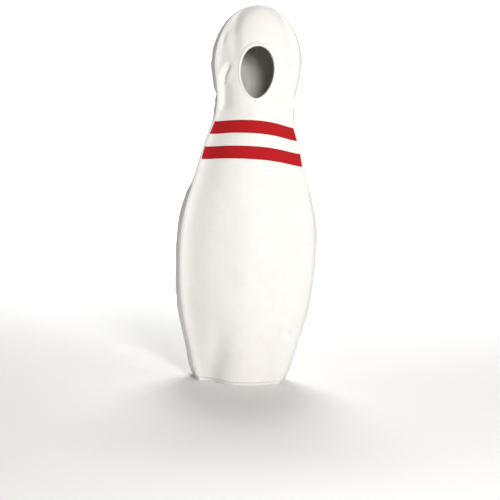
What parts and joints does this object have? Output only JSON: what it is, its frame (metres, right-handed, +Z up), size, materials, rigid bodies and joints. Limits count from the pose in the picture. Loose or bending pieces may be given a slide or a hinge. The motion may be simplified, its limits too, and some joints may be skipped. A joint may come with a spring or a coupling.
{
  "type": "bowling pin costume",
  "caption": "Hooded foam tunic shaped like a bowling pin, with a face opening, armholes, red bands and a back closure.",
  "frame": {"origin": "centre of the hem, on the surface that the empty costume stands on", "axes": "+Z up, the front of the costume faces -Y, and +X is the wearer's left"},
  "size_m": [0.57, 0.3077, 1.4991],
  "materials": {
    "white_foam": "brushed knit face on foam",
    "white_binding": "folded knit binding",
    "red_felt": "matte brushed felt",
    "tab_webbing": "plain tape",
    "hook_tape": "moulded nylon hooks",
    "loop_tape": "napped nylon loops",
    "label_satin": "blank satin"
  },
  "bodies": {
    "tunic": {"armhole_binding_left": "white_binding", "armhole_binding_right": "white_binding", "back_panel_left": "white_foam", "back_panel_right": "white_foam", "care_label": "label_satin", "face_binding": "white_binding", "front_panel": "white_foam", "hem_binding": "white_binding", "hood_gusset_left": "white_foam", "hood_gusset_right": "white_foam", "loop_patch_lower": "loop_tape", "loop_patch_middle": "loop_tape", "loop_patch_upper": "loop_tape", "side_gusset_left": "white_foam", "side_gusset_right": "white_foam", "stripe_back_lower_left": "red_felt", "stripe_back_lower_right": "red_felt", "stripe_back_upper_left": "red_felt", "stripe_back_upper_right": "red_felt", "stripe_front_lower": "red_felt", "stripe_front_upper": "red_felt", "tab_sewn_end_lower": "tab_webbing", "tab_sewn_end_middle": "tab_webbing", "tab_sewn_end_upper": "tab_webbing"},
    "tab_lower": {"closure_tab_lower": "tab_webbing", "hook_patch_lower": "hook_tape"},
    "tab_middle": {"closure_tab_middle": "tab_webbing", "hook_patch_middle": "hook_tape"},
    "tab_upper": {"closure_tab_upper": "tab_webbing", "hook_patch_upper": "hook_tape"}
  },
  "joints": [
    {"name": "closure_tab_lower_hinge", "type": "hinge", "parent": "tunic", "child": "tab_lower", "pos_m": [0.045, 0.15076, 0.62], "axis": [0, 0.0128, -0.9999], "range_deg": [0, 150]},
    {"name": "closure_tab_middle_hinge", "type": "hinge", "parent": "tunic", "child": "tab_middle", "pos_m": [0.045, 0.14823, 0.795], "axis": [0, 0.024, -0.9997], "range_deg": [0, 150]},
    {"name": "closure_tab_upper_hinge", "type": "hinge", "parent": "tunic", "child": "tab_upper", "pos_m": [0.045, 0.14087, 0.971], "axis": [0, 0.0758, -0.9971], "range_deg": [0, 150]}
  ]
}
